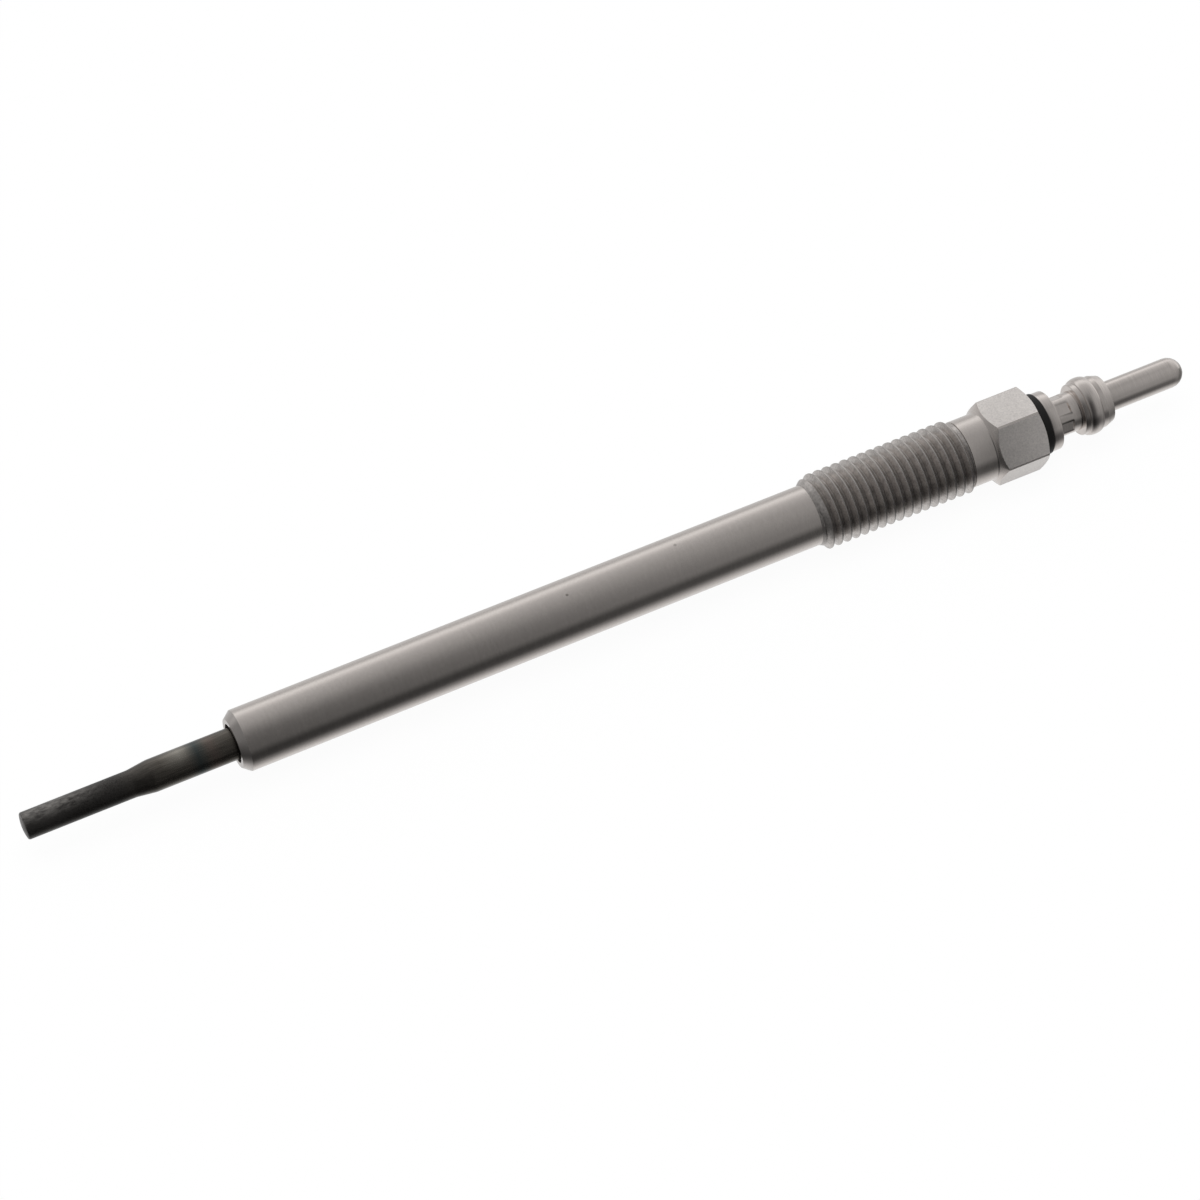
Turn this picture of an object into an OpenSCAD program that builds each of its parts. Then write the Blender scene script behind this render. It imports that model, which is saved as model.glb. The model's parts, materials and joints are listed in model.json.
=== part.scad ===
// Metal-sheath diesel glow plug, lying on its side on one flat of its hexagon.
// The axis runs along +X, from the heater tip at -X to the terminal pin at +X.
// Every piece is drawn standing on the heater tip, and laid down by lie_down().

/* [Heater] */
// Diameter of the sheath where it enters the shell
sheath_d = 4.15; // [3.9:0.05:4.5]
// Diameter of the swaged heating end
tip_d = 3.5; // [3.3:0.05:3.8]
// Length of the swaged heating end
tip_l = 14.2; // [8:0.2:18]
// Length of the taper between the heating end and the full sheath
tip_taper_l = 2.5; // [1:0.1:4]
// Rounding of the tip's edge
tip_round = 0.25; // [0.1:0.05:0.6]
// Radius of the tip's slight dome
tip_dome_r = 6; // [4:0.5:20]
// Length of sheath that stands out of the shell
heater_out_l = 27.5; // [24:0.1:34]
// Wall of the sheath
sheath_wall = 0.5; // [0.35:0.05:0.6]
// Thickness of the closed end
tip_wall = 1.2; // [0.8:0.1:2]
// Length of sheath past its seat in the shell
sheath_tail_l = 1.5; // [0.5:0.1:3]

/* [Coils] */
// Length of the heating coil
heating_coil_l = 10; // [6:0.5:14]
// Wire of the heating coil
heating_wire_d = 0.28; // [0.2:0.02:0.36]
// Pitch of the heating coil
heating_pitch = 0.8; // [0.6:0.05:1.2]
// Length of the control coil
control_coil_l = 21.5; // [15:0.5:26]
// Wire of the control coil
control_wire_d = 0.32; // [0.2:0.02:0.36]
// Pitch of the control coil
control_pitch = 1.2; // [0.8:0.05:1.8]
// Bend where the wire leaves its helix for its weld
wire_bend_r = 0.5; // [0.3:0.05:0.8]
// Powder between the coils and the heating end's wall
powder_wall = 0.3; // [0.2:0.05:0.4]

/* [Shell] */
// Diameter of the shank
shank_d = 8; // [7.4:0.1:8.6]
// Length of the shank, from its front face to the thread
shank_l = 79; // [50:1:110]
// Diameter of the front face, inside the sealing cone
front_face_d = 6.4; // [6:0.1:7]
// Length of the sealing cone
seal_cone_l = 1; // [0.5:0.1:2]
// Radial gap between the shell's mouth and the sheath
mouth_gap = 0.45; // [0.2:0.05:0.6]
// Depth of the mouth
mouth_l = 2.2; // [1:0.1:4]
// Length of the bore that grips the sheath
sheath_seat_l = 15; // [10:0.5:20]
// Outside diameter of the thread
thread_d = 9.9; // [9.4:0.05:10]
// Length of the thread, with its lead and run-out
thread_l = 21.8; // [16:0.2:30]
// Length of the cone that leads into the thread
thread_lead_l = 1.1; // [0.6:0.05:1.6]
// Length of the thread's run-out
thread_runout_l = 0.45; // [0.3:0.05:1.2]
// Pitch of the thread
thread_pitch = 1.25; // [0.75:0.05:1.75]
// Diameter at the thread's roots
thread_root_d = 8.4; // [8.2:0.05:8.8]
// Width of the thread's crests
thread_crest_l = 0.2; // [0.1:0.05:0.3]
// Width of the thread's roots
thread_root_l = 0.2; // [0.05:0.05:0.3]
// Diameter of the plain neck
neck_d = 9; // [8.6:0.05:9.3]
// Length of the plain neck
neck_l = 3.25; // [1:0.05:5]
// Hexagon across its flats
hex_af = 10; // [9.6:0.1:12]
// Length of the hexagon, with its cones
hex_l = 7.05; // [6.5:0.05:10]
// Slope of the hexagon's front cone from the axis
hex_front_angle = 56; // [40:1:70]
// Fillet between the neck and the hexagon's front cone
hex_fillet_r = 0.35; // [0.1:0.05:1]
// Slope of the hexagon's rear cone from its end face
hex_rear_angle = 26; // [15:1:40]
// Bore that the centre rod runs through
rod_bore_d = 5; // [4.8:0.1:5.6]
// Bore that holds the seal ring and the bush
seal_bore_d = 6.6; // [6.2:0.1:7]
// Depth of that bore from the rear face
seal_bore_l = 6.8; // [5:0.1:9]

/* [Centre rod] */
// Diameter of the rod
rod_d = 3; // [2.6:0.1:3.4]
// Diameter of its front end, inside the sheath
rod_front_d = 2; // [1.6:0.1:2.3]
// Length of thin rod behind the sheath
rod_front_clear_l = 2; // [1:0.1:6]
// Length of the cone between the two diameters
rod_step_l = 0.8; // [0.3:0.1:2]
// Length of rod inside the terminal
rod_grip_l = 6.5; // [4:0.1:8]

/* [Seals and bush] */
// Length of the packing that closes the sheath
packing_l = 3; // [1.5:0.1:5]
// Diameter of the bush's flange
flange_d = 8.2; // [7.6:0.05:8.8]
// Thickness of the bush's flange
flange_l = 1.3; // [0.6:0.05:2.5]

/* [Terminal] */
// Diameter of the base disc
base_d = 7.95; // [7:0.05:8.6]
// Thickness of the base disc
base_l = 1.45; // [0.8:0.05:3]
// Rounding of the base disc's edges
base_round = 0.15; // [0.05:0.05:0.35]
// Diameter of the crimped neck
crimp_neck_d = 5.3; // [4.9:0.05:5.8]
// Length of the crimped neck
crimp_neck_l = 3.55; // [2.5:0.05:6]
// Depth of the crimp's six flats
crimp_depth = 0.2; // [0.05:0.01:0.25]
// Turn of the crimp's flats from the hexagon's flats
crimp_turn = 28; // [0:1:59]
// Round neck left behind the crimp's flats
crimp_margin = 1.4; // [0.2:0.05:2]
// Diameter of the shoulder's front edge
shoulder_front_d = 6.85; // [6.2:0.05:7.1]
// Rounding of that edge
shoulder_round = 0.15; // [0.05:0.05:0.3]
// Diameter of the shoulder at the bead
shoulder_d = 7; // [6.4:0.05:7.3]
// Length of the shoulder
shoulder_l = 0.65; // [0.4:0.05:2]
// Diameter of the bead that a connector snaps over
bead_d = 7.75; // [7.4:0.05:8.4]
// Length of the bead
bead_l = 2; // [1.6:0.05:4]
// Diameter of the collar
collar_d = 7; // [6.4:0.05:7.3]
// Length of the collar's straight part
collar_l = 0.65; // [0.3:0.05:3]
// Diameter of the collar's end
collar_end_d = 6.25; // [5:0.05:6.3]
// Length of the collar's taper
collar_taper_l = 1.1; // [0.4:0.05:3]
// Diameter of the contact pin
pin_d = 4; // [3:0.1:4.6]
// Length of the contact pin, with its round end
pin_l = 11.5; // [7:0.05:16]

/* [Fits] */
// Radial gap of a pressed or crimped fit
press_gap = 0.02; // [0.01:0.005:0.04]
// Gap round the coils and at the end of the rod
slip_gap = 0.05; // [0.02:0.01:0.1]

/* [Hidden] */

// Where the shell's turned faces begin and end, so that the plug doesn't lie on that seam
seam_turn = 6;

$fn = 64;
arc_steps = 10;
wire_sides = 6;
rings_per_turn = 10;
bend_rings = 4;

// Heights along the axis, from the heater tip
mouth_z = heater_out_l + mouth_l;
seat_end_z = mouth_z + sheath_seat_l;
sheath_end_z = seat_end_z + sheath_tail_l;
thread_z = heater_out_l + shank_l;
neck_z = thread_z + thread_l;
hex_z = neck_z + neck_l;
shell_end_z = hex_z + hex_l;
seal_seat_z = shell_end_z - seal_bore_l;
base_z = shell_end_z + flange_l;
crimp_z = base_z + base_l;
shoulder_z = crimp_z + crimp_neck_l;
bead_z = shoulder_z + shoulder_l;
collar_z = bead_z + bead_l;
pin_z = collar_z + collar_l + collar_taper_l;
overall_l = pin_z + pin_l;

// Places inside the sheath
coil_joint_z = tip_wall + heating_coil_l;
rod_front_z = coil_joint_z + control_coil_l;
packing_z = sheath_end_z - packing_l;
sheath_bore_r = sheath_d / 2 - sheath_wall;
tip_bore_r = tip_d / 2 - sheath_wall;
wire_r = max(heating_wire_d, control_wire_d) / 2;
coil_r = tip_bore_r - powder_wall - wire_r;

// Radii that pieces share
hex_corner_r = hex_af / 2 / cos(30);
seal_ring_r = (seal_bore_d - rod_d) / 4 - press_gap;
bush_z = seal_seat_z + 2 * seal_ring_r + 2 * press_gap;

// Lays a piece that stands on the heater tip along +X, with a flat of the hexagon on the ground.
module lie_down() {
    translate([-overall_l / 2, 0, hex_af / 2])
        rotate([0, 90, 0])
            children();
}

// Ring of rectangular section between two radii, standing on z.
module ring(outer_r, inner_r, z, length) {
    translate([0, 0, z])
        rotate_extrude()
            translate([inner_r, 0])
                square([outer_r - inner_r, length]);
}

// Points of an elliptic arc about [r, z], between two angles.
function arc(r, z, radius_r, radius_z, from, to) = [
    for (i = [0 : arc_steps])
        let (a = from + (to - from) * i / arc_steps)
            [r + radius_r * cos(a), z + radius_z * sin(a)]
];

// Outline of the thread between its lead and its run-out, with one groove for each turn.
function thread_outline() =
    let (
        crest_r = thread_d / 2,
        root_r = thread_root_d / 2,
        full_z = thread_z + thread_lead_l,
        full_end_z = neck_z - thread_runout_l,
        flank_l = (thread_pitch - thread_crest_l - thread_root_l) / 2,
        groove_l = 2 * flank_l + thread_root_l,
        grooves = floor((full_end_z - full_z - thread_crest_l) / thread_pitch)
    )
        concat(
            [[crest_r, full_z]],
            [
                for (i = [0 : grooves - 1])
                    let (z = full_z + thread_crest_l + i * thread_pitch)
                        each [
                            [crest_r, z],
                            [root_r, z + flank_l],
                            [root_r, z + flank_l + thread_root_l],
                            [crest_r, z + groove_l]
                        ]
            ],
            [[crest_r, full_end_z]]
        );

// Outside of the shell: sealing cone, shank, thread, and the neck that runs on into the hexagon.
module shell_turning() {
    neck_end_z = hex_z + hex_l / 2;
    rotate([0, 0, seam_turn])
        rotate_extrude()
            polygon(concat(
                [
                    [0, heater_out_l],
                    [front_face_d / 2, heater_out_l],
                    [shank_d / 2, heater_out_l + seal_cone_l],
                    [shank_d / 2, thread_z]
                ],
                thread_outline(),
                [
                    [neck_d / 2, neck_z],
                    [neck_d / 2, neck_end_z],
                    [0, neck_end_z]
                ]
            ));
}

// Hexagon with a cone turned on each end, and a fillet between the neck and the front cone.
module shell_hexagon() {
    front_l = (hex_corner_r - neck_d / 2) / tan(hex_front_angle);
    rear_l = (hex_corner_r - hex_af / 2) * tan(hex_rear_angle);
    fillet_z = hex_z - hex_fillet_r * tan(hex_front_angle / 2);
    intersection() {
        translate([0, 0, fillet_z])
            rotate([0, 0, 30])
                cylinder(r = hex_corner_r, h = shell_end_z - fillet_z, $fn = 6);
        rotate_extrude()
            polygon(concat(
                [[0, fillet_z]],
                arc(
                    neck_d / 2 + hex_fillet_r, fillet_z, hex_fillet_r, hex_fillet_r,
                    180, 180 - hex_front_angle
                ),
                [
                    [hex_corner_r, hex_z + front_l],
                    [hex_corner_r, shell_end_z - rear_l],
                    [hex_af / 2, shell_end_z],
                    [0, shell_end_z]
                ]
            ));
    }
}

// Stepped bore of the shell, from its mouth to the seal's bore.
module shell_bore() {
    over = 1;
    mouth_r = sheath_d / 2 + mouth_gap;
    seat_r = sheath_d / 2 + press_gap;
    rotate_extrude()
        polygon([
            [0, heater_out_l - over],
            [mouth_r, heater_out_l - over],
            [mouth_r, mouth_z],
            [seat_r, mouth_z],
            [seat_r, seat_end_z],
            [rod_bore_d / 2, seat_end_z],
            [rod_bore_d / 2, seal_seat_z],
            [seal_bore_d / 2, seal_seat_z],
            [seal_bore_d / 2, shell_end_z + over],
            [0, shell_end_z + over]
        ]);
}

// Turned steel shell: shank, thread, neck and hexagon in one piece.
module body_shell() {
    color("#8c8783")
        lie_down()
            difference() {
                union() {
                    shell_turning();
                    shell_hexagon();
                }
                shell_bore();
            }
}

// Sheath tube, swaged thinner at its closed and slightly domed end.
module heater_sheath() {
    edge_r = tip_d / 2 - tip_round;
    dome_angle = asin(edge_r / (tip_dome_r - tip_round));
    edge_z = tip_dome_r - (tip_dome_r - tip_round) * cos(dome_angle);
    color("#2b2826")
        lie_down()
            rotate_extrude()
                polygon(concat(
                    arc(0, tip_dome_r, tip_dome_r, tip_dome_r, -90, dome_angle - 90),
                    arc(edge_r, edge_z, tip_round, tip_round, dome_angle - 90, 0),
                    [
                        [tip_d / 2, tip_l],
                        [sheath_d / 2, tip_l + tip_taper_l],
                        [sheath_d / 2, sheath_end_z],
                        [sheath_bore_r, sheath_end_z],
                        [sheath_bore_r, tip_l + tip_taper_l],
                        [tip_bore_r, tip_l],
                        [tip_bore_r, tip_wall],
                        [0, tip_wall]
                    ]
                ));
}

// Slope of a coil's wire, unrolled from its cylinder.
function coil_slope(pitch) = atan(pitch / (2 * PI * coil_r));

// Distance that the wire runs round the axis, over the coil's whole length.
function coil_run(length, pitch) =
    let (slope = coil_slope(pitch))
        2 * wire_bend_r * (1 - sin(slope))
        + (length - 2 * wire_bend_r * cos(slope)) / tan(slope);

// Wire of a coil, unrolled: [way round, height, heading] from an axial start to an axial end.
function coil_path(length, pitch) =
    let (
        slope = coil_slope(pitch),
        run = coil_run(length, pitch),
        helix_h = length - 2 * wire_bend_r * cos(slope),
        rings = ceil(helix_h / pitch * rings_per_turn),
        bend = [
            for (i = [0 : bend_rings])
                let (heading = 90 - (90 - slope) * i / bend_rings)
                    [wire_bend_r * (1 - sin(heading)), wire_bend_r * cos(heading), heading]
        ],
        first = bend[bend_rings],
        helix = [
            for (i = [1 : rings - 1])
                [
                    first[0] + helix_h / tan(slope) * i / rings,
                    first[1] + helix_h * i / rings,
                    slope
                ]
        ],
        last_bend = [
            for (i = [bend_rings : -1 : 0])
                [run - bend[i][0], length - bend[i][1], bend[i][2]]
        ]
    )
        concat(bend, helix, last_bend);

// One corner of the wire's section at a point of its path, rolled onto the coil's cylinder.
function wire_corner(step, wire_d, turned, side) =
    let (
        round = turned + step[0] / coil_r * 180 / PI,
        out = [cos(round), sin(round), 0],
        along = [-sin(round), cos(round), 0],
        across = along * sin(step[2]) - [0, 0, cos(step[2])],
        a = side * 360 / wire_sides
    )
        out * coil_r + [0, 0, step[1]] + wire_d / 2 * (out * cos(a) + across * sin(a));

// Wire swept along a coil, from z, starting at the given turn about the axis.
module coil(z, length, pitch, wire_d, turned) {
    path = coil_path(length, pitch);
    last = len(path) - 1;
    points = [
        for (step = path)
            for (side = [0 : wire_sides - 1])
                wire_corner(step, wire_d, turned, side)
    ];
    walls = [
        for (i = [0 : last - 1])
            for (side = [0 : wire_sides - 1])
                let (
                    next = (side + 1) % wire_sides,
                    here = i * wire_sides,
                    ahead = here + wire_sides
                )
                    each [
                        [here + side, ahead + side, ahead + next],
                        [here + side, ahead + next, here + next]
                    ]
    ];
    front = [for (side = [0 : wire_sides - 1]) side];
    back = [for (side = [wire_sides - 1 : -1 : 0]) last * wire_sides + side];
    translate([0, 0, z])
        polyhedron(points, concat([front], walls, [back]), convexity = 10);
}

// Heating coil, welded to the closed end of the sheath.
module heating_coil() {
    color("#b8a58c")
        lie_down()
            coil(tip_wall, heating_coil_l, heating_pitch, heating_wire_d, 0);
}

// Control coil, welded between the heating coil and the centre rod.
module control_coil() {
    turned = coil_run(heating_coil_l, heating_pitch) / coil_r * 180 / PI;
    color("#9d9a94")
        lie_down()
            coil(coil_joint_z, control_coil_l, control_pitch, control_wire_d, turned);
}

// Packed insulating powder: a core inside the coils and a sleeve between them and the sheath.
module magnesia_powder() {
    color("#e6e1d6")
        lie_down() {
            translate([0, 0, tip_wall])
                cylinder(r = coil_r - wire_r - slip_gap, h = rod_front_z - tip_wall);
            rotate_extrude()
                polygon([
                    [coil_r + wire_r + slip_gap, tip_wall],
                    [tip_bore_r - press_gap, tip_wall],
                    [tip_bore_r - press_gap, tip_l],
                    [sheath_bore_r - press_gap, tip_l + tip_taper_l],
                    [sheath_bore_r - press_gap, packing_z],
                    [rod_front_d / 2 + press_gap, packing_z],
                    [rod_front_d / 2 + press_gap, rod_front_z],
                    [coil_r + wire_r + slip_gap, rod_front_z]
                ]);
        }
}

// Packing that closes the rear of the sheath round the centre rod.
module sheath_packing() {
    color("#6d3a2e")
        lie_down()
            ring(sheath_bore_r - press_gap, rod_front_d / 2 + press_gap, packing_z, packing_l);
}

// Centre rod, from the control coil to the terminal.
module centre_rod() {
    step_z = sheath_end_z + rod_front_clear_l;
    color("#a19c96")
        lie_down()
            rotate_extrude()
                polygon([
                    [0, rod_front_z],
                    [rod_front_d / 2, rod_front_z],
                    [rod_front_d / 2, step_z],
                    [rod_d / 2, step_z + rod_step_l],
                    [rod_d / 2, base_z + rod_grip_l],
                    [0, base_z + rod_grip_l]
                ]);
}

// Seal ring between the shell and the centre rod.
module seal_ring() {
    color("#1f1d1c")
        lie_down()
            translate([0, 0, seal_seat_z + seal_ring_r + press_gap])
                rotate_extrude()
                    translate([(seal_bore_d + rod_d) / 4, 0])
                        circle(r = seal_ring_r);
}

// Moulded bush: a nose in the shell's bore and the flange under the terminal.
module insulating_bush() {
    bore_r = rod_d / 2 + press_gap;
    color("#242220")
        lie_down()
            rotate_extrude()
                polygon([
                    [bore_r, bush_z],
                    [seal_bore_d / 2 - press_gap, bush_z],
                    [seal_bore_d / 2 - press_gap, shell_end_z],
                    [flange_d / 2, shell_end_z],
                    [flange_d / 2, base_z],
                    [bore_r, base_z]
                ]);
}

// Outline of the terminal from its base disc to the round end of its pin.
function terminal_outline() =
    let (
        base_r = base_d / 2,
        bead_r = bead_d / 2,
        pin_r = pin_d / 2,
        neck_r = crimp_neck_d / 2,
        shoulder_edge_r = shoulder_front_d / 2 - shoulder_round
    )
        concat(
            [[0, base_z]],
            arc(base_r - base_round, base_z + base_round, base_round, base_round, -90, 0),
            arc(base_r - base_round, crimp_z - base_round, base_round, base_round, 0, 90),
            [[neck_r, crimp_z], [neck_r, shoulder_z]],
            arc(shoulder_edge_r, shoulder_z + shoulder_round, shoulder_round, shoulder_round, -90, 0),
            arc(shoulder_d / 2, bead_z + bead_l / 2, bead_r - shoulder_d / 2, bead_l / 2, -90, 90),
            [
                [collar_d / 2, collar_z],
                [collar_d / 2, collar_z + collar_l],
                [collar_end_d / 2, pin_z],
                [pin_r, pin_z]
            ],
            arc(0, overall_l - pin_r, pin_r, pin_r, 0, 90)
        );

// Six flats pressed into the neck, which grip the rod.
module crimp_flats() {
    flat_r = crimp_neck_d / 2 - crimp_depth;
    flats_l = crimp_neck_l - crimp_margin;
    translate([0, 0, crimp_z])
        difference() {
            cylinder(d = crimp_neck_d + 2 * crimp_depth, h = flats_l);
            translate([0, 0, -flats_l / 2])
                rotate([0, 0, 30 + crimp_turn])
                    cylinder(r = flat_r / cos(30), h = 2 * flats_l, $fn = 6);
        }
}

// Terminal cap: base disc, crimped neck, snap bead, collar and contact pin in one piece.
module pin_terminal() {
    color("#9a9590")
        lie_down()
            difference() {
                rotate_extrude()
                    polygon(terminal_outline());
                crimp_flats();
                translate([0, 0, base_z - slip_gap])
                    cylinder(r = rod_d / 2 + press_gap, h = rod_grip_l + 2 * slip_gap);
            }
}

body_shell();
heater_sheath();
heating_coil();
control_coil();
magnesia_powder();
sheath_packing();
centre_rod();
seal_ring();
insulating_bush();
pin_terminal();
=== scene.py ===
import json
import math

import bmesh
import bpy
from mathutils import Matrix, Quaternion, Vector


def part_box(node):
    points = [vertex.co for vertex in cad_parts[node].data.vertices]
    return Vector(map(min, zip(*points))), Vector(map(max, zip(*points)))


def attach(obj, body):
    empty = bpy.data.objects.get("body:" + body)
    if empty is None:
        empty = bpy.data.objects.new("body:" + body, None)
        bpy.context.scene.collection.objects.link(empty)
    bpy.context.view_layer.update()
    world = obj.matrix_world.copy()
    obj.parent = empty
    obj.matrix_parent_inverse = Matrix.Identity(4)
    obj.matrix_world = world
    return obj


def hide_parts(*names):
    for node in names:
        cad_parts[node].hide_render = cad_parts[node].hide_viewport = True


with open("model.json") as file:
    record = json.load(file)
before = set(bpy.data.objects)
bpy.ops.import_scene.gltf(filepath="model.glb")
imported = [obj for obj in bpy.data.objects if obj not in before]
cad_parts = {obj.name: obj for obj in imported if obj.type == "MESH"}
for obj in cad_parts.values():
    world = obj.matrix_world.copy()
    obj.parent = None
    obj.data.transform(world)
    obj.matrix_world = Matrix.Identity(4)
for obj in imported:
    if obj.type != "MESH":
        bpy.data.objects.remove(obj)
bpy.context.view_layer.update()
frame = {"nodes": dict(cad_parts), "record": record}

MM = 0.001

# Places and sizes from the frame
shell_low, shell_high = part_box("body_shell")
sheath_low, sheath_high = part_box("heater_sheath")
bush_low, bush_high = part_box("insulating_bush")
terminal_low, terminal_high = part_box("pin_terminal")
mounts = {mount["name"]: mount for mount in frame["record"]["mounts"]}
thread_mount = mounts["thread"]
pin_mount = mounts["terminal_pin"]

AXIS = Vector((1, 0, 0))
AXIS_Z = (shell_low.z + shell_high.z) / 2
AXIS_POINT = Vector((0, 0, AXIS_Z))
TIP_X = sheath_low.x
FRONT_FACE_X = shell_low.x
SHELL_END_X = shell_high.x
BASE_X = bush_high.x
PIN_END_X = terminal_high.x

# Rounding of small edges, and room between pieces that fit closely
EDGE_ROUND = 0.05 * MM
FIT_ROOM = 0.02 * MM

# Heater sheath
SHEATH_R = (sheath_high.z - sheath_low.z) / 2
SHEATH_END_X = sheath_high.x
SHEATH_WALL = 0.5 * MM
SWAGED_R = 1.75 * MM
SWAGED_L = 14.2 * MM
SWAGED_END_X = TIP_X + SWAGED_L
SWAGE_TAPER_L = 2.5 * MM
SWAGE_BLEND = 4 * MM
TIP_ROUND = 0.25 * MM
TIP_DOME_R = 6 * MM
TIP_WALL = 1.2 * MM

# Heat colours of the sheath: distances from its tip, and widths of the tinted bands; the grey patches and
# the straw band are painted on the top only, partly as painted sheen
GREY_FULL_L = 3 * MM
GREY_END_L = 7 * MM
PATCHES_FULL_L = 5 * MM
PATCHES_END_L = 11 * MM
BROWN_START_L = SWAGED_L - 2 * MM
BROWN_FULL_L = SWAGED_L + 4 * MM
STRAW_L = 20.5 * MM
STRAW_WIDTH = 5 * MM
BLUE_L = 22.7 * MM
BLUE_WIDTH = 2.8 * MM
RED_L = 24.6 * MM
RED_WIDTH = 2.2 * MM

# Shell
SHANK_R = 4 * MM
SEAL_CONE_L = 1 * MM
CONE_END_X = FRONT_FACE_X + SEAL_CONE_L
FRONT_FACE_R = 3.2 * MM
MOUTH_GAP = 0.45 * MM
MOUTH_R = SHEATH_R + MOUTH_GAP
MOUTH_L = 2.2 * MM
SEAT_R = SHEATH_R + FIT_ROOM
SEAT_L = 15 * MM
ROD_BORE_R = 2.5 * MM
SEAL_BORE_R = 3.3 * MM
SEAL_BORE_L = 6.8 * MM

# Small dark marks on the shank: place, size and strength, and the share of the size that is fully dark
SHANK_MARKS = [
    (Vector((-7.91 * MM, -1.13 * MM, AXIS_Z + 3.84 * MM)), 0.25 * MM, 0.55),
    (Vector((7.52 * MM, -0.11 * MM, AXIS_Z + 4 * MM)), 0.28 * MM, 0.4),
]
MARK_CORE = 0.4

# Thread
CREST_R = thread_mount["dims"]["r_mm"] * MM
THREAD_FULL_L = thread_mount["dims"]["length_mm"] * MM
THREAD_FULL_X = thread_mount["pos_m"][0] - THREAD_FULL_L / 2
THREAD_LEAD_L = 1.1 * MM
THREAD_RUNOUT_L = 0.45 * MM
THREAD_X = THREAD_FULL_X - THREAD_LEAD_L
NECK_X = THREAD_FULL_X + THREAD_FULL_L + THREAD_RUNOUT_L
PITCH = 1.25 * MM
THREAD_PHASE = 0.52 * MM
THREAD_START_X = THREAD_X - PITCH - THREAD_PHASE
ROOT_R = 4.2 * MM
GROOVE_R = 4.36 * MM
GROOVE_L = 0.12 * MM
GROOVE_SLOPE = 0.3
# Gap left at each end of the thread, which a ring of faces then closes
THREAD_GAP = 0.05 * MM
# Half of a crest from its middle, in mm: distance along the axis, and depth under the crest's lip
CREST_HALF = [(0, 0.02), (0.03025, 0.01), (0.055, 0), (0.085, 0.018), (0.105, 0.055)]
# Half of a root towards its middle, in mm: distance from that middle, and height over the root
ROOT_HALF = [(0.1, 0.07), (0.05, 0.015), (0, 0)]
# Depths under the crest where the rubbed finish starts and is full, and height of the painted shade in the
# roots
RUBBED_START = 0.06 * MM
RUBBED_FULL = 0.015 * MM
ROOT_SHADE_HEIGHT = 0.25 * MM

# Neck and hexagon
NECK_R = 4.5 * MM
HEX_FLAT_R = (shell_high.z - shell_low.z) / 2
HEX_CORNER_R = HEX_FLAT_R / math.cos(math.radians(30))
HEX_CORNER_WEAR = 0.08 * MM
HEX_BLANK_R = HEX_CORNER_R - HEX_CORNER_WEAR
HEX_L = 7.05 * MM
HEX_X = SHELL_END_X - HEX_L
HEX_FRONT_SLOPE = math.radians(56)
HEX_REAR_SLOPE = math.radians(26)
HEX_FILLET = 0.35 * MM
HEX_EDGE = 0.06 * MM
REAR_FACE_R = HEX_FLAT_R - 0.1 * MM

# Bush
FLANGE_R = (bush_high.z - bush_low.z) / 2
BUSH_BORE_R = 1.52 * MM
BUSH_NOSE_R = SEAL_BORE_R - FIT_ROOM
BUSH_ROUND = 0.1 * MM

# Terminal
BASE_R = (terminal_high.z - terminal_low.z) / 2
BASE_L = 1.45 * MM
BASE_ROUND = 0.16 * MM
GRIP_BORE_R = 1.52 * MM
GRIP_BORE_L = 6.55 * MM
CRIMP_X = BASE_X + BASE_L
CRIMP_NECK_R = 2.65 * MM
CRIMP_NECK_L = 3.55 * MM
CRIMP_DEPTH = 0.2 * MM
CRIMP_FLAT_R = CRIMP_NECK_R - CRIMP_DEPTH
CRIMP_FLATS_L = 2.15 * MM
CRIMP_STEP_L = 0.14 * MM
CRIMP_TURN = math.radians(30)
SHOULDER_X = CRIMP_X + CRIMP_NECK_L
SHOULDER_L = 0.65 * MM
SHOULDER_FRONT_R = 3.425 * MM
SHOULDER_ROUND = 0.15 * MM
BEAD_X = SHOULDER_X + SHOULDER_L
BEAD_R = 3.875 * MM
BEAD_L = 2 * MM
COLLAR_X = BEAD_X + BEAD_L
COLLAR_R = 3.5 * MM
COLLAR_L = 0.65 * MM
COLLAR_TAPER_L = 1.1 * MM
COLLAR_ROUND = 0.1 * MM
COLLAR_END_R = 3.125 * MM
PIN_X = COLLAR_X + COLLAR_L + COLLAR_TAPER_L
PIN_R = pin_mount["dims"]["r_mm"] * MM
# Just under the radius, so that the round end keeps a point on the axis of its own
PIN_ROUND = PIN_R * 0.999

# Fineness of the meshes
ROUND_STEPS = 144
ARC_STEPS = 6
BEAD_STEPS = 20
MERGE = 0.0002 * MM
SHARP_ANGLE = math.radians(28)

# Range that most of a noise lies in
NOISE_LOW = 0.3
NOISE_HIGH = 0.7

# Places of the shell's finishes in its list of materials
GROUND, THREAD, HEXAGON, BORE = range(4)


# Shapes

def softened(corners):
    """Outline through corners of (x, radius, rounding), with an arc in place of each rounded corner."""
    outline = []
    for index, (x, radius, rounding) in enumerate(corners):
        here = Vector((x, radius))
        if rounding == 0:
            outline.append(here)
            continue
        back = (Vector(corners[index - 1][:2]) - here).normalized()
        ahead = (Vector(corners[index + 1][:2]) - here).normalized()
        half = back.angle(ahead) / 2
        reach = rounding / math.tan(half)
        centre = here + (back + ahead).normalized() * rounding / math.sin(half)
        start = (here + back * reach - centre).normalized()
        end = (here + ahead * reach - centre).normalized()
        for step in range(ARC_STEPS + 1):
            outline.append(centre + start.slerp(end, step / ARC_STEPS) * rounding)
    return outline


def draw(bm, outline):
    """Draws an outline of (x, radius) points above the axis, and returns its points and lines."""
    points = [bm.verts.new((x, 0, AXIS_Z + radius)) for x, radius in outline]
    lines = [bm.edges.new(pair) for pair in zip(points, points[1:])]
    return points + lines


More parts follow.
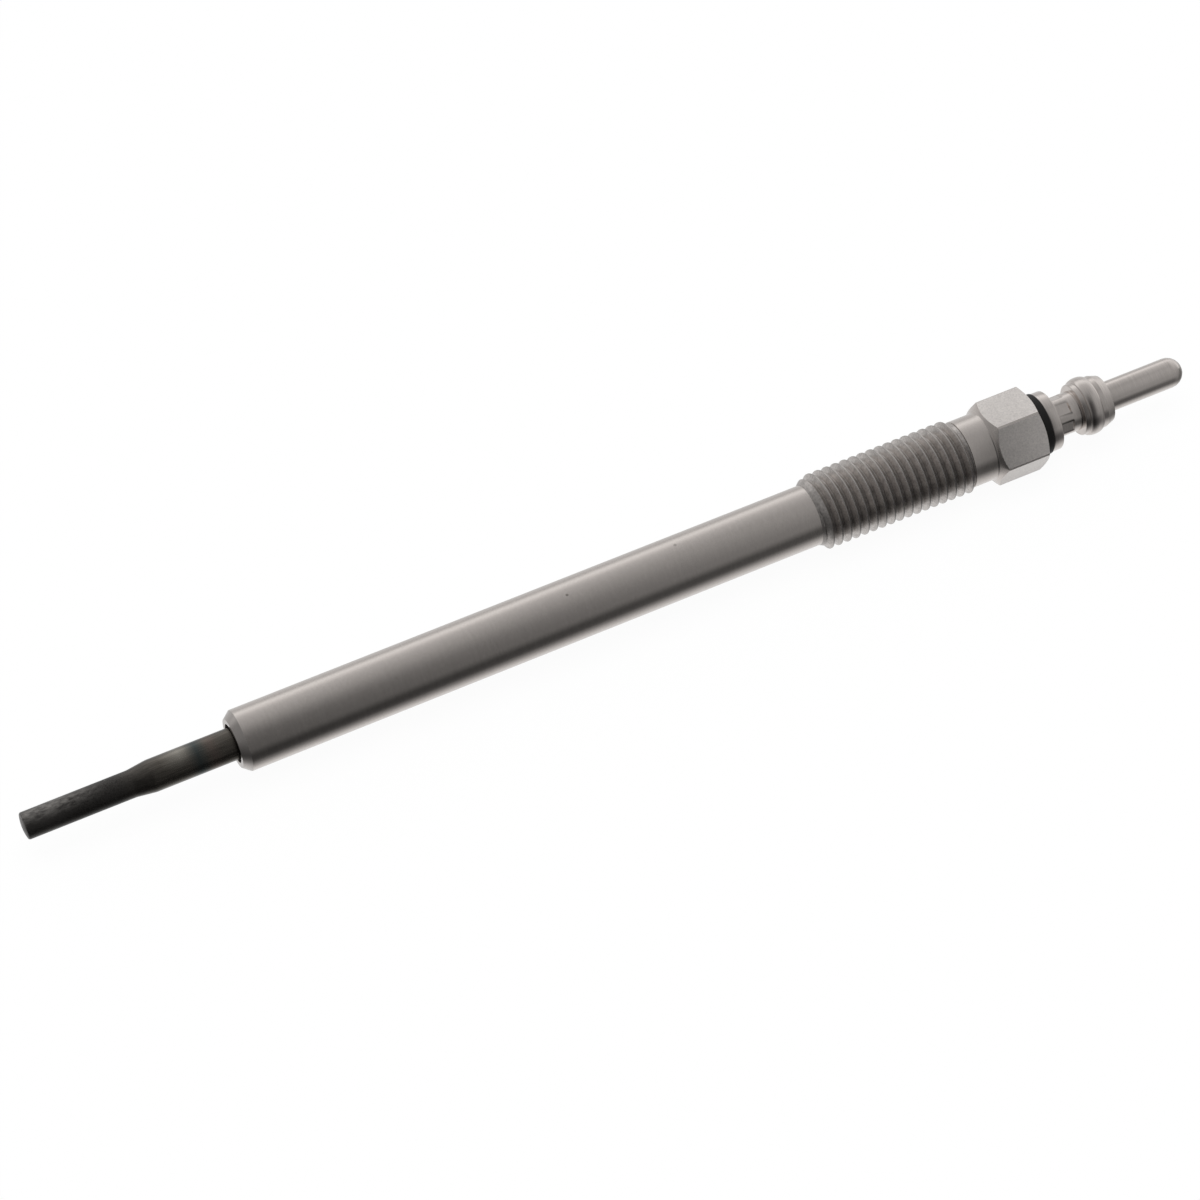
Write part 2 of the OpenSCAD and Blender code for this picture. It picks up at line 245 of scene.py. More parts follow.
def turn(bm, outline):
    """Turns an outline of (x, radius) points about the plug's axis."""
    bmesh.ops.spin(
        bm, geom=draw(bm, outline), cent=AXIS_POINT, axis=AXIS,
        angle=math.tau, steps=ROUND_STEPS, use_merge=True,
    )


def everything(bm):
    """All the geometry of a mesh, for the operators that cut it."""
    return bm.verts[:] + bm.edges[:] + bm.faces[:]


def from_axis(point):
    """Distance of a point from the plug's axis."""
    return math.hypot(point.y, point.z - AXIS_Z)


def set_radius(vertex, radius):
    """Moves a vertex straight out or in, to the given distance from the axis."""
    scale = radius / from_axis(vertex.co)
    vertex.co.y *= scale
    vertex.co.z = AXIS_Z + (vertex.co.z - AXIS_Z) * scale


def new_piece(name, bm, finishes, node):
    """Closes a mesh, smooths it between its sharp edges, and sets it in place of its CAD node."""
    bmesh.ops.remove_doubles(bm, verts=bm.verts[:], dist=MERGE)
    bmesh.ops.dissolve_degenerate(bm, dist=MERGE, edges=bm.edges[:])
    bmesh.ops.recalc_face_normals(bm, faces=bm.faces[:])
    for face in bm.faces:
        face.smooth = True
    for edge in bm.edges:
        edge.smooth = edge.calc_face_angle(0) < SHARP_ANGLE
    mesh = bpy.data.meshes.new(name)
    bm.to_mesh(mesh)
    bm.free()
    for finish in finishes:
        mesh.materials.append(finish)
    piece = bpy.data.objects.new(name, mesh)
    bpy.context.scene.collection.objects.link(piece)
    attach(piece, "root")
    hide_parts(node)


# Finishes

class Nodes:
    """The nodes of a material or a world, with short calls to add and join them."""

    def __init__(self, owner):
        owner.use_nodes = True
        self.tree = owner.node_tree

    def add(self, kind, **settings):
        """A new node with the given settings."""
        node = self.tree.nodes.new(kind)
        for name, value in settings.items():
            setattr(node, name, value)
        return node

    def feed(self, socket, value):
        """Joins a socket to another one, or sets its value."""
        if isinstance(value, bpy.types.NodeSocket):
            self.tree.links.new(value, socket)
        else:
            socket.default_value = value

    def math(self, operation, first, second=0.0):
        """A sum on one or two numbers."""
        node = self.add("ShaderNodeMath", operation=operation)
        self.feed(node.inputs[0], first)
        self.feed(node.inputs[1], second)
        return node.outputs[0]

    def spread(self, value, low, high, to_low=0.0, to_high=1.0):
        """Spreads the range from low to high onto another range, and stops at its ends."""
        node = self.add("ShaderNodeMapRange", clamp=True)
        for socket, number in zip(node.inputs, (value, low, high, to_low, to_high)):
            self.feed(socket, number)
        return node.outputs[0]

    def split(self, vector):
        """The x, y and z of a vector."""
        node = self.add("ShaderNodeSeparateXYZ")
        self.feed(node.inputs[0], vector)
        return node.outputs


class Finish(Nodes):
    """A procedural finish: one shader, and the nodes that vary it over the surface."""

    def __init__(self, name, colour, metal, roughness, gloss=0.5):
        self.material = bpy.data.materials.new(name)
        super().__init__(self.material)
        self.shader = self.tree.nodes["Principled BSDF"]
        self.shader.inputs["Base Color"].default_value = (*colour, 1)
        self.shader.inputs["Metallic"].default_value = metal
        self.shader.inputs["Roughness"].default_value = roughness
        self.shader.inputs["Specular IOR Level"].default_value = gloss
        self.place = self.add("ShaderNodeTexCoord").outputs["Object"]

    def moved(self, offset, stretch):
        """Object coordinates, moved and stretched."""
        node = self.add("ShaderNodeMapping")
        self.feed(node.inputs["Vector"], self.place)
        node.inputs["Location"].default_value = offset
        node.inputs["Scale"].default_value = stretch
        return node.outputs[0]

    def along(self):
        """Distance along the plug's axis."""
        return self.split(self.place)["X"]

    def height(self):
        """Height above the plug's axis."""
        return self.math("SUBTRACT", self.split(self.place)["Z"], AXIS_Z)

    def radius(self):
        """Distance from the plug's axis."""
        node = self.add("ShaderNodeVectorMath", operation="LENGTH")
        self.feed(node.inputs[0], self.moved((0, 0, -AXIS_Z), (0, 1, 1)))
        return node.outputs["Value"]

    def near(self, point, size):
        """One at a point of the surface, falling to nothing at the given distance."""
        node = self.add("ShaderNodeVectorMath", operation="DISTANCE")
        self.feed(node.inputs[0], self.place)
        node.inputs[1].default_value = point
        return self.spread(node.outputs["Value"], size, MARK_CORE * size)

    def band(self, value, middle, width):
        """One at a middle value, falling to nothing at half the width on both sides."""
        return self.spread(self.math("ABSOLUTE", self.math("SUBTRACT", value, middle)), width / 2, 0)

    def noise(self, grain, detail=2.0, roughness=0.5, offset=(0, 0, 0)):
        """Noise whose grains have the given size along x, y and z."""
        node = self.add("ShaderNodeTexNoise")
        self.feed(node.inputs["Vector"], self.moved(offset, [1 / size for size in grain]))
        node.inputs["Scale"].default_value = 1
        node.inputs["Detail"].default_value = detail
        node.inputs["Roughness"].default_value = roughness
        return node.outputs[0]

    def both(self, first, second, share):
        """Adds two noises, the first with the given share."""
        rest = self.math("MULTIPLY", second, 1 - share)
        return self.math("ADD", self.math("MULTIPLY", first, share), rest)

    def vary(self, noise, low, high):
        """A number from low to high, by a noise."""
        return self.spread(noise, NOISE_LOW, NOISE_HIGH, low, high)

    def blend(self, factor, first, second):
        """Mixes two colours."""
        node = self.add("ShaderNodeMix", data_type="RGBA")
        self.feed(node.inputs["Factor"], factor)
        for socket, colour in zip(node.inputs[6:8], (first, second)):
            self.feed(socket, colour if isinstance(colour, bpy.types.NodeSocket) else (*colour, 1))
        return node.outputs[2]

    def shade(self, noise, dark, light):
        """A colour from dark to light, by a noise."""
        return self.blend(self.vary(noise, 0, 1), dark, light)

    def tint(self, colour, factor, strength, other):
        """Mixes another colour into a colour, by a factor and a strength."""
        return self.blend(self.math("MULTIPLY", factor, strength), colour, other)

    def paint(self, colour):
        """Gives the shader its colour."""
        self.feed(self.shader.inputs["Base Color"], colour)

    def roughen(self, value):
        """Gives the shader its roughness."""
        self.feed(self.shader.inputs["Roughness"], value)

    def bump(self, height, depth):
        """Raises the surface by a height from 0 to 1, times a depth."""
        node = self.add("ShaderNodeBump")
        self.feed(node.inputs["Height"], height)
        node.inputs["Distance"].default_value = depth
        node.inputs["Strength"].default_value = 1
        self.feed(self.shader.inputs["Normal"], node.outputs[0])


def ground_steel():
    """Plated steel, ground round the axis: fine rings of grain, with faint light and dark streaks, and
    painted shade on the sealing cone.
    """
    finish = Finish("ground_steel", (0.6, 0.555, 0.525), 1, 0.22)
    grain = finish.noise((0.06 * MM, 0.5 * MM, 0.5 * MM), 3)
    streaks = finish.noise((0.4 * MM, 4 * MM, 4 * MM), offset=(3, 1, 2))
    colour = finish.shade(finish.both(grain, streaks, 0.75), (0.56, 0.518, 0.49), (0.64, 0.592, 0.56))
    for place, size, strength in SHANK_MARKS:
        colour = finish.tint(colour, finish.near(place, size), strength, (0.1, 0.09, 0.08))
    # Painted shade: the sealing cone is coloured darker than the shank
    cone = finish.spread(finish.along(), CONE_END_X, CONE_END_X - EDGE_ROUND)
    finish.paint(finish.blend(cone, colour, (0.47, 0.44, 0.42)))
    finish.roughen(finish.vary(streaks, 0.205, 0.235))
    finish.bump(grain, 0.0004 * MM)
    return finish.material


def rolled_steel():
    """Rolled thread: mottled grey flanks, painted shade in the roots and thin rubbed crests."""
    finish = Finish("rolled_steel", (0.5, 0.468, 0.445), 1, 0.32)
    grain = finish.noise((0.2 * MM, 0.3 * MM, 0.3 * MM), 3)
    mottle = finish.noise((0.6 * MM, 0.9 * MM, 0.9 * MM), offset=(1, 3, 5))
    height = finish.radius()
    rubbed = finish.spread(height, CREST_R - RUBBED_START, CREST_R - RUBBED_FULL)
    # Painted shade: the roots are coloured darker towards the bottom of each groove, where the flanks shade
    # them
    dull = finish.spread(height, ROOT_R + ROOT_SHADE_HEIGHT, ROOT_R)
    flank = finish.shade(finish.both(grain, mottle, 0.6), (0.37, 0.348, 0.333), (0.72, 0.677, 0.647))
    lower = finish.tint(flank, dull, 0.25, (0.12, 0.112, 0.107))
    finish.paint(finish.blend(rubbed, lower, (0.42, 0.395, 0.378)))
    finish.roughen(finish.spread(rubbed, 0, 1, 0.33, 0.22))
    finish.bump(grain, 0.003 * MM)
    return finish.material


def hexagon_steel():
    """Flats of the hexagon: plated steel with a fine matt grain."""
    finish = Finish("hexagon_steel", (0.64, 0.605, 0.58), 0.76, 0.33)
    grain = finish.noise((0.24 * MM, 0.24 * MM, 0.24 * MM), 2, 0.6)
    cloud = finish.noise((1.5 * MM, 1.5 * MM, 1.5 * MM), offset=(1, 4, 2))
    finish.paint(finish.shade(finish.both(grain, cloud, 0.8), (0.55, 0.52, 0.5), (0.74, 0.7, 0.67)))
    finish.roughen(finish.vary(cloud, 0.3, 0.36))
    finish.bump(grain, 0.004 * MM)
    return finish.material


def bore_steel():
    """Inside of the shell: bored steel with coarse turning rings, dull, and painted dark as the shade
    inside the bore.
    """
    finish = Finish("bore_steel", (0.28, 0.265, 0.25), 1, 0.45)
    rings = finish.noise((0.15 * MM, 6 * MM, 6 * MM))
    # Painted shade: a dark colour for the inside of the bore
    finish.paint(finish.shade(rings, (0.2, 0.19, 0.18), (0.34, 0.32, 0.3)))
    finish.bump(rings, 0.006 * MM)
    return finish.material


def sheath_oxide():
    """Heat-darkened sheath: black oxide, mottled grey near the tip, brown and tinted near the shell, with
    painted sheen on the top where the grey patches and the straw tint lie.
    """
    finish = Finish("sheath_oxide", (0.05, 0.046, 0.042), 0.97, 0.38)
    grain = finish.noise((0.12 * MM, 0.2 * MM, 0.2 * MM), 3)
    mottle = finish.noise((1.1 * MM, 0.45 * MM, 0.45 * MM), 4, 0.65, offset=(2, 5, 1))
    streaks = finish.noise((3 * MM, 0.16 * MM, 0.16 * MM), offset=(1, 2, 3))
    specks = finish.noise((0.35 * MM, 0.16 * MM, 0.16 * MM), 1, offset=(7, 3, 5))
    along = finish.math("SUBTRACT", finish.along(), TIP_X)
    # Painted sheen: one on the top of the sheath, where the patches and the straw tint are painted lighter
    # as light from above
    painted_top_sheen = finish.spread(finish.math("DIVIDE", finish.height(), finish.radius()), 0.55, 0.97)
    tip = finish.math("MULTIPLY", finish.spread(along, PATCHES_END_L, PATCHES_FULL_L), painted_top_sheen)
    heat_patch_and_sheen = finish.math("MULTIPLY", finish.spread(mottle, 0.35, 0.65), tip)
    brown = finish.spread(along, BROWN_START_L, BROWN_FULL_L)
    black = finish.shade(grain, (0.04, 0.038, 0.036), (0.085, 0.08, 0.076))
    lined = finish.blend(finish.spread(streaks, 0.3, 0.75), (0.085, 0.077, 0.067), (0.16, 0.145, 0.127))
    colour = finish.blend(brown, black, lined)
    greyed = finish.spread(along, GREY_END_L, GREY_FULL_L, 0, 0.5)
    colour = finish.blend(greyed, colour, (0.12, 0.115, 0.11))
    # Straw band: a heat tint painted only on the top of the sheath, so partly a painted highlight
    straw_and_sheen = finish.band(along, STRAW_L, STRAW_WIDTH)
    colour = finish.tint(colour, straw_and_sheen, painted_top_sheen, (0.27, 0.255, 0.226))
    blue = finish.band(along, BLUE_L, BLUE_WIDTH)
    colour = finish.tint(colour, blue, 0.85, (0.055, 0.07, 0.072))
    red = finish.band(along, RED_L, RED_WIDTH)
    colour = finish.tint(colour, red, 0.7, (0.15, 0.118, 0.105))
    # Grey patches near the tip: mottled heat tint, kept to the top of the sheath as painted sheen
    colour = finish.tint(colour, heat_patch_and_sheen, 0.8, (0.3, 0.287, 0.272))
    finish.paint(finish.blend(finish.spread(specks, 0.8, 0.86), colour, (0.5, 0.48, 0.45)))
    dull = finish.vary(mottle, 0.36, 0.44)
    finish.roughen(finish.math("SUBTRACT", dull, finish.math("MULTIPLY", brown, 0.13)))
    finish.bump(grain, 0.004 * MM)
    return finish.material


def bush_plastic():
    """Moulded black plastic with a fine matt skin."""
    finish = Finish("bush_plastic", (0.008, 0.0075, 0.007), 0, 0.5, gloss=0.25)
    skin = finish.noise((0.08 * MM, 0.08 * MM, 0.08 * MM))
    finish.paint(finish.blend(skin, (0.006, 0.0056, 0.0051), (0.01, 0.0094, 0.0086)))
    finish.roughen(finish.vary(skin, 0.45, 0.58))
    finish.bump(skin, 0.004 * MM)
    return finish.material


def terminal_steel():
    """Turned and plated terminal: satin, with faint rings from the tool."""
    finish = Finish("terminal_steel", (0.6, 0.555, 0.525), 1, 0.18)
    rings = finish.noise((0.08 * MM, 2 * MM, 2 * MM))
    cloud = finish.noise((0.8 * MM, 0.8 * MM, 0.8 * MM), offset=(4, 2, 1))
    finish.paint(finish.shade(rings, (0.57, 0.527, 0.499), (0.65, 0.601, 0.569)))
    finish.roughen(finish.vary(cloud, 0.16, 0.2))
    finish.bump(rings, 0.0005 * MM)
    return finish.material


def drawn_metal(name, dark, light, roughness):
    """Drawn wire or rod, with fine lines along its length."""
    finish = Finish(name, light, 1, roughness)
    lines = finish.noise((2 * MM, 0.08 * MM, 0.08 * MM))
    finish.paint(finish.shade(lines, dark, light))
    finish.bump(lines, 0.002 * MM)
    return finish.material


def packed_powder():
    """Pressed magnesia powder: off-white, with a crumbly grain."""
    finish = Finish("packed_powder", (0.85, 0.83, 0.79), 0, 0.95)
    crumbs = finish.noise((0.12 * MM, 0.12 * MM, 0.12 * MM), 3)
    finish.paint(finish.blend(crumbs, (0.74, 0.72, 0.68), (0.9, 0.88, 0.85)))
    finish.bump(crumbs, 0.02 * MM)
    return finish.material


def moulded_rubber(name, dark, light):
    """Moulded soft rubber with a dull, slightly dusty skin."""
    finish = Finish(name, light, 0, 0.75)
    skin = finish.noise((0.15 * MM, 0.15 * MM, 0.15 * MM), 3)
    finish.paint(finish.shade(skin, dark, light))
    finish.bump(skin, 0.008 * MM)
    return finish.material


# Shell

def shell_outline():
    """Section of the shell from the thread's front end, round the mouth and the bore, to its rear end."""
    mouth_end = FRONT_FACE_X + MOUTH_L
    seat_end = mouth_end + SEAT_L
    seal_seat = SHELL_END_X - SEAL_BORE_L
    rear_cone_l = (HEX_BLANK_R - REAR_FACE_R) * math.tan(HEX_REAR_SLOPE)
    front_cone_l = (HEX_BLANK_R - NECK_R) / math.tan(HEX_FRONT_SLOPE)
    return softened([
        (THREAD_X, SHANK_R, 0),
        (CONE_END_X, SHANK_R, EDGE_ROUND),
        (FRONT_FACE_X, FRONT_FACE_R, EDGE_ROUND),
        (FRONT_FACE_X, MOUTH_R, EDGE_ROUND),
        (mouth_end, MOUTH_R, 0),
        (mouth_end, SEAT_R, 0),
        (seat_end, SEAT_R, 0),
        (seat_end, ROD_BORE_R, 0),
        (seal_seat, ROD_BORE_R, 0),
        (seal_seat, SEAL_BORE_R, 0),
        (SHELL_END_X, SEAL_BORE_R, EDGE_ROUND),
        (SHELL_END_X, REAR_FACE_R, 0),
        (SHELL_END_X - rear_cone_l, HEX_BLANK_R, 0),
        (HEX_X + front_cone_l, HEX_BLANK_R, 0),
        (HEX_X, NECK_R, HEX_FILLET),
        (NECK_X, NECK_R, 0),
    ])


def cut_flats(bm):
    """Mills the hexagon's six flats off its round blank, and softens their edges at the front cone."""
    for index in range(6):
        angle = math.tau * index / 6
        outward = Vector((0, math.sin(angle), math.cos(angle)))
        cut = bmesh.ops.bisect_plane(
            bm, geom=everything(bm), dist=MERGE,
            plane_co=AXIS_POINT + outward * HEX_FLAT_R, plane_no=outward, clear_outer=True,
        )
        rim = [part for part in cut["geom_cut"] if isinstance(part, bmesh.types.BMEdge)]
        for flat in bmesh.ops.contextual_create(bm, geom=rim)["faces"]:
            flat.material_index = HEXAGON
    front_end = HEX_X + HEX_CORNER_R - NECK_R
    corner_height = HEX_CORNER_R - HEX_FLAT_R
    front_edges = [
        edge for edge in bm.edges
        if {face.material_index for face in edge.link_faces} == {GROUND, HEXAGON}
        and max(vertex.co.x for vertex in edge.verts) < front_end
        and abs(edge.verts[0].co.x - edge.verts[1].co.x) < corner_height
    ]
    bmesh.ops.bevel(
        bm, geom=front_edges, offset=HEX_EDGE, affect="EDGES", segments=2, profile=0.5, material=-1,
    )


def thread_profile():
    """One pitch of the rolled thread, from root to root, with a shallow seam between the crest's lips."""
    half = [(x * MM, CREST_R - depth * MM) for x, depth in CREST_HALF]
    half += [(PITCH / 2 - x * MM, ROOT_R + height * MM) for x, height in ROOT_HALF]
    return [(-x, radius) for x, radius in reversed(half[1:])] + half


def thread_limits(x):
    """Least and greatest radius of the thread at x: a cone leads in, and a groove ends it at the neck."""
    lead = SHANK_R + (x - THREAD_X) * (CREST_R - SHANK_R) / THREAD_LEAD_L
    left = max(0, NECK_X - GROOVE_L - x)
    ending = GROOVE_R + left * (CREST_R - GROOVE_R) / (THREAD_RUNOUT_L - GROOVE_L)
    floor = max(ROOT_R, GROOVE_R - left * GROOVE_SLOPE)
    return floor, min(lead, ending)


def roll_thread(bm):
    """Winds one turn of the thread, repeats it along the axis, and trims it between shank and neck."""
    turns = math.ceil((NECK_X - THREAD_START_X) / PITCH) + 1
    bmesh.ops.spin(
        bm, geom=draw(bm, [(THREAD_START_X + x, radius) for x, radius in thread_profile()]),
        cent=AXIS_POINT, axis=AXIS, dvec=AXIS * PITCH / ROUND_STEPS, angle=math.tau, steps=ROUND_STEPS,
    )
    first_turn = everything(bm)
    for index in range(1, turns):
        copy = bmesh.ops.duplicate(bm, geom=first_turn)["geom"]
        corners = [part for part in copy if isinstance(part, bmesh.types.BMVert)]
        bmesh.ops.translate(bm, verts=corners, vec=AXIS * PITCH * index)
    bmesh.ops.remove_doubles(bm, verts=bm.verts[:], dist=MERGE)
    for vertex in bm.verts:
        floor, ceiling = thread_limits(vertex.co.x)
        set_radius(vertex, min(max(from_axis(vertex.co), floor), ceiling))
    for x, side in ((THREAD_X + THREAD_GAP, "clear_inner"), (NECK_X - THREAD_GAP, "clear_outer")):
        bmesh.ops.bisect_plane(
            bm, geom=everything(bm), dist=MERGE,
            plane_co=(x, 0, 0), plane_no=AXIS, **{side: True},
        )
    for face in bm.faces:
        face.material_index = THREAD


def join_rings(bm, x):
    """Closes the narrow gap between two open rings at x."""
    rings = [
        edge for edge in bm.edges
        if edge.is_boundary and all(abs(vertex.co.x - x) < 2 * THREAD_GAP for vertex in edge.verts)
    ]
    bmesh.ops.bridge_loops(bm, edges=rings)


def make_shell():
    """Steel shell: sealing cone, shank, rolled thread, neck, hexagon and stepped bore in one piece."""
    bm = bmesh.new()
    turn(bm, shell_outline())
    bmesh.ops.remove_doubles(bm, verts=bm.verts[:], dist=MERGE)
    for face in bm.faces:
        middle = face.calc_center_median()
        if from_axis(middle) < SEAL_BORE_R and middle.x > FRONT_FACE_X + 2 * EDGE_ROUND:
            face.material_index = BORE
    cut_flats(bm)
    thread = bmesh.new()
    roll_thread(thread)
    wound = bpy.data.meshes.new("wound_thread")
    thread.to_mesh(wound)
    thread.free()
    bm.from_mesh(wound)
    bpy.data.meshes.remove(wound)
    join_rings(bm, THREAD_X)
    join_rings(bm, NECK_X)
    finishes = [ground_steel(), rolled_steel(), hexagon_steel(), bore_steel()]
    new_piece("shell", bm, finishes, "body_shell")


# Heater, bush and terminal

def arc(middle_x, middle_r, radius, angles):
    """Corners on an arc, by angles from the axis at its front."""
    return [
        (middle_x - radius * math.cos(angle), middle_r + radius * math.sin(angle), 0)
        for angle in angles
    ]


def tip_outline():
    """Slightly domed end of the sheath, with its rounded edge."""
    edge_r = SWAGED_R - TIP_ROUND
    spread = math.asin(edge_r / (TIP_DOME_R - TIP_ROUND))
    dome_x = TIP_X + TIP_DOME_R
    edge_x = dome_x - (TIP_DOME_R - TIP_ROUND) * math.cos(spread)
    shares = [step / ARC_STEPS for step in range(ARC_STEPS + 1)]
    dome = arc(dome_x, 0, TIP_DOME_R, [spread * share for share in shares[:-1]])
    edge = arc(edge_x, edge_r, TIP_ROUND, [spread + (math.pi / 2 - spread) * share for share in shares])
    return dome + edge


def make_sheath():
    """Heater sheath: a closed tube, swaged thinner at its heating end."""
    bore_r = SHEATH_R - SHEATH_WALL
    tip_bore_r = SWAGED_R - SHEATH_WALL
    bm = bmesh.new()
    turn(bm, softened([
        *tip_outline(),
        (SWAGED_END_X, SWAGED_R, SWAGE_BLEND),
        (SWAGED_END_X + SWAGE_TAPER_L, SHEATH_R, SWAGE_BLEND),
        (SHEATH_END_X, SHEATH_R, 0),
        (SHEATH_END_X, bore_r, 0),
        (SWAGED_END_X + SWAGE_TAPER_L, bore_r, 0),
        (SWAGED_END_X, tip_bore_r, 0),
        (TIP_X + TIP_WALL, tip_bore_r, 0),
        (TIP_X + TIP_WALL, 0, 0),
    ]))
    new_piece("heater_tube", bm, [sheath_oxide()], "heater_sheath")


def make_bush():
    """Black bush: a nose in the shell's bore and the flange that shows under the terminal."""
    bm = bmesh.new()
    turn(bm, softened([
        (bush_low.x, BUSH_BORE_R, 0),
        (bush_low.x, BUSH_NOSE_R, BUSH_ROUND),
        (SHELL_END_X, BUSH_NOSE_R, 0),
        (SHELL_END_X, FLANGE_R, BUSH_ROUND),
        (BASE_X, FLANGE_R, BUSH_ROUND),
        (BASE_X, BUSH_BORE_R, 0),
        (bush_low.x, BUSH_BORE_R, 0),
    ]))
    new_piece("bush", bm, [bush_plastic()], "insulating_bush")


def bead_outline():
    """Round bead that a connector snaps over."""
    half = BEAD_L / 2
    rise = BEAD_R - COLLAR_R
    angles = [math.pi * (step / BEAD_STEPS - 0.5) for step in range(BEAD_STEPS + 1)]
    return [
        (BEAD_X + half + half * math.sin(angle), COLLAR_R + rise * math.cos(angle), 0)
        for angle in angles
    ]


def press_flats(bm):
    """Presses the crimp's six flats into the terminal's neck."""
    for vertex in bm.verts:
        on_neck = abs(from_axis(vertex.co) - CRIMP_NECK_R) < MERGE
        if on_neck and vertex.co.x < CRIMP_X + CRIMP_FLATS_L + MERGE:
            angle = math.atan2(vertex.co.y, vertex.co.z - AXIS_Z) + CRIMP_TURN
            from_flat = (angle + math.pi / 6) % (math.pi / 3) - math.pi / 6
            set_radius(vertex, min(CRIMP_NECK_R, CRIMP_FLAT_R / math.cos(from_flat)))


def make_terminal():
    """Terminal: base disc, crimped neck, shoulder, bead, collar and contact pin in one piece."""
    bm = bmesh.new()
    flats_end = CRIMP_X + CRIMP_FLATS_L
    step_end = flats_end + CRIMP_STEP_L
    turn(bm, softened([
        (BASE_X + GRIP_BORE_L, 0, 0),
        (BASE_X + GRIP_BORE_L, GRIP_BORE_R, 0),
        (BASE_X, GRIP_BORE_R, 0),
        (BASE_X, BASE_R, BASE_ROUND),
        (CRIMP_X, BASE_R, BASE_ROUND),
        (CRIMP_X, CRIMP_NECK_R, 0),
        (flats_end, CRIMP_NECK_R, 0),
        (step_end, CRIMP_NECK_R, 0),
        (step_end + EDGE_ROUND, CRIMP_NECK_R, 0),
        (SHOULDER_X, CRIMP_NECK_R, EDGE_ROUND),
        (SHOULDER_X, SHOULDER_FRONT_R, SHOULDER_ROUND),
        *bead_outline(),
        (COLLAR_X + COLLAR_L, COLLAR_R, COLLAR_ROUND),
        (PIN_X, COLLAR_END_R, EDGE_ROUND),
        (PIN_X, PIN_R, 0),
        (PIN_END_X, PIN_R, PIN_ROUND),
        (PIN_END_X, 0, 0),
    ]))
    press_flats(bm)
    new_piece("terminal", bm, [terminal_steel()], "pin_terminal")


def dress_inner_nodes():
    """Finishes of the pieces inside, which keep their CAD shapes."""
    wire = drawn_metal("coil_wire", (0.3, 0.27, 0.24), (0.5, 0.46, 0.4), 0.4)
    finishes = {
        "heating_coil": wire,
        "control_coil": wire,
        "magnesia_powder": packed_powder(),
        "sheath_packing": moulded_rubber("packing_rubber", (0.2, 0.09, 0.06), (0.32, 0.15, 0.11)),
        "centre_rod": drawn_metal("rod_steel", (0.5, 0.48, 0.46), (0.62, 0.6, 0.58), 0.3),
        "seal_ring": moulded_rubber("seal_rubber", (0.02, 0.02, 0.02), (0.045, 0.044, 0.042)),
    }
    for name, finish in finishes.items():
        for holder in frame["nodes"][name].material_slots:
            holder.material = finish


# Studio

FLOOR_SIZE = 4
FLOOR_COLOUR = (0.95, 0.95, 0.95, 1)
# Share of plain white in what the camera sees of the floor
FLOOR_SHOW = 0.96
LAMP_SIZE = 1.4
LAMP_HEIGHT = 1.3
LAMP_POWER = 13
# Brightness round the axis, by degrees from the front horizon, up over the top to the back
STUDIO = [
    (-180, 0.68), (-115, 0.92), (-97, 0.9), (-78, 0.68), (-60, 0.32), (-45, 0.09), (-34, 0.072),
    (-22, 0.072), (-12, 0.135), (0, 0.215), (18, 0.225), (46, 0.285), (74, 0.39), (95, 0.47),
    (114, 0.58), (128, 0.68), (138, 0.9), (150, 1.15), (160, 0.95), (168, 0.62), (180, 0.68),
]
# Brightness round the axis on the left side, as above
LEFT = [
    (-180, 0.5), (-165, 0.46), (-150, 0.33), (-134, 0.19), (-112, 0.045), (-75, 0.06), (-50, 0.06),
    (-10, 0.14), (46, 0.27), (100, 0.33), (143, 0.36), (180, 0.5),
]
# Brightness round the axis on the right side, as above
RIGHT = [
    (-180, 0.9), (-120, 0.3), (-60, 0.16), (-20, 0.32), (50, 0.5), (110, 0.75), (150, 1), (180, 0.9),
]
# Brightness of the front from left (-1) to right (1): dark round the camera, lighter on the right
FRONT = [(-0.75, 1), (-0.5, 0.6), (-0.3, 0.25), (-0.05, 0.3), (0.18, 0.68), (0.4, 1.75)]
# How far to the front, to the left and to the right these take over in full, and where the sides start
FRONT_FULL = 0.7
LEFT_START = -0.45
LEFT_FULL = -0.8
RIGHT_START = 0.42
RIGHT_FULL = 0.7


def make_floor():
    """Pale floor: white to the camera, with the object's soft shadow kept."""
    bm = bmesh.new()
    bmesh.ops.create_grid(bm, x_segments=1, y_segments=1, size=FLOOR_SIZE / 2)
    mesh = bpy.data.meshes.new("floor")
    bm.to_mesh(mesh)
    bm.free()
    material = bpy.data.materials.new("pale_floor")
    nodes = Nodes(material)
    paper = nodes.tree.nodes["Principled BSDF"]
    paper.inputs["Base Color"].default_value = FLOOR_COLOUR
    paper.inputs["Roughness"].default_value = 1
    paper.inputs["Specular IOR Level"].default_value = 0
    white = nodes.add("ShaderNodeEmission")
    camera_ray = nodes.add("ShaderNodeLightPath").outputs["Is Camera Ray"]
    mix = nodes.add("ShaderNodeMixShader")
    nodes.feed(mix.inputs[0], nodes.math("MULTIPLY", camera_ray, FLOOR_SHOW))
    nodes.feed(mix.inputs[1], paper.outputs[0])
    nodes.feed(mix.inputs[2], white.outputs[0])
    nodes.feed(nodes.tree.nodes["Material Output"].inputs["Surface"], mix.outputs[0])
    mesh.materials.append(material)
    floor = bpy.data.objects.new("floor", mesh)
    floor.visible_glossy = False
    bpy.context.scene.collection.objects.link(floor)


def make_lamp():
    """One large soft lamp overhead."""
    lamp = bpy.data.lights.new("soft_lamp", "AREA")
    lamp.shape = "SQUARE"
    lamp.size = LAMP_SIZE
    lamp.energy = LAMP_POWER
    holder = bpy.data.objects.new("soft_lamp", lamp)
    holder.location = (0, 0, LAMP_HEIGHT)
    holder.visible_glossy = False
    bpy.context.scene.collection.objects.link(holder)


